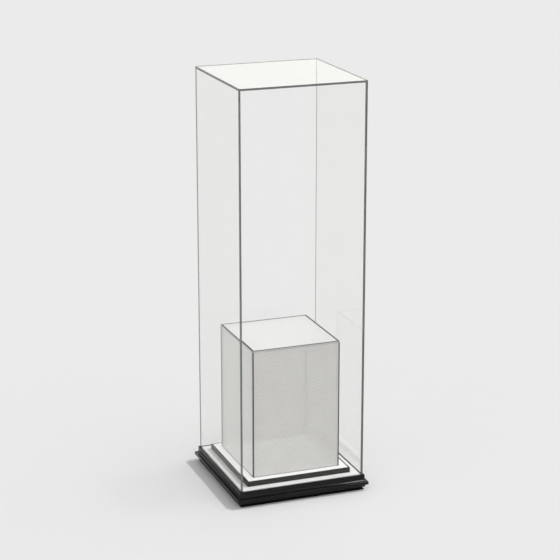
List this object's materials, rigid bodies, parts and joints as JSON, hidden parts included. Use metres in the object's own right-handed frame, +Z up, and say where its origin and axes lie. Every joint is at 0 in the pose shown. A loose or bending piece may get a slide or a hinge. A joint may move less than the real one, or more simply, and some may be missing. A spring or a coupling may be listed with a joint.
{
  "type": "acrylic display case",
  "caption": "Tall square clear acrylic cover on a black moulded base, with a pale deck, a stepped platform and a loose translucent riser cube inside.",
  "frame": {"origin": "on the floor, under the middle of the base", "axes": "+Z up, -Y towards the front, +X to the right as seen from the front"},
  "size_m": [0.429, 0.429, 1.29],
  "materials": {
    "clear_acrylic": "clear cast acrylic, polished edges that read mid grey",
    "patterned_acrylic": "translucent grey-white sheet with a fine etched pattern, dark polished edges",
    "black_lacquer": "satin black lacquer",
    "fibreboard": "raw fibreboard",
    "softwood": "planed softwood",
    "deck_laminate": "board with a matt off-white laminate",
    "white_laminate": "board with a satin white laminate",
    "dark_edging": "charcoal edging strip",
    "rubber": "matt",
    "felt": "pressed felt",
    "steel": "zinc plated"
  },
  "bodies": {
    "base": {"bottom_board": "black_lacquer", "rubber_feet": "rubber", "board_screws": "steel", "frame_rail_front": "fibreboard", "frame_rail_rear": "fibreboard", "frame_rail_left": "fibreboard", "frame_rail_right": "fibreboard", "corner_block_front_left": "softwood", "corner_block_front_right": "softwood", "corner_block_rear_left": "softwood", "corner_block_rear_right": "softwood", "bearer_front": "softwood", "bearer_rear": "softwood", "moulding_front": "black_lacquer", "moulding_rear": "black_lacquer", "moulding_left": "black_lacquer", "moulding_right": "black_lacquer", "seat_strip_front": "felt", "seat_strip_rear": "felt", "seat_strip_left": "felt", "seat_strip_right": "felt", "deck_panel": "deck_laminate", "deck_screws": "steel", "platform_board": "white_laminate", "platform_screws": "steel", "platform_edging_front": "dark_edging", "platform_edging_rear": "dark_edging", "platform_edging_left": "dark_edging", "platform_edging_right": "dark_edging"},
    "riser": {"riser_front": "patterned_acrylic", "riser_rear": "patterned_acrylic", "riser_left": "patterned_acrylic", "riser_right": "patterned_acrylic", "riser_top": "patterned_acrylic"},
    "cover": {"cover_front": "clear_acrylic", "cover_rear": "clear_acrylic", "cover_left": "clear_acrylic", "cover_right": "clear_acrylic", "cover_top": "clear_acrylic"}
  },
  "joints": [
    {"name": "cover_lift", "type": "slide", "parent": "base", "child": "cover", "axis": [0, 0, 1], "range_m": [0, 0.5]},
    {"name": "riser_lift", "type": "slide", "parent": "base", "child": "riser", "axis": [0, 0, 1], "range_m": [0, 0.25]}
  ]
}
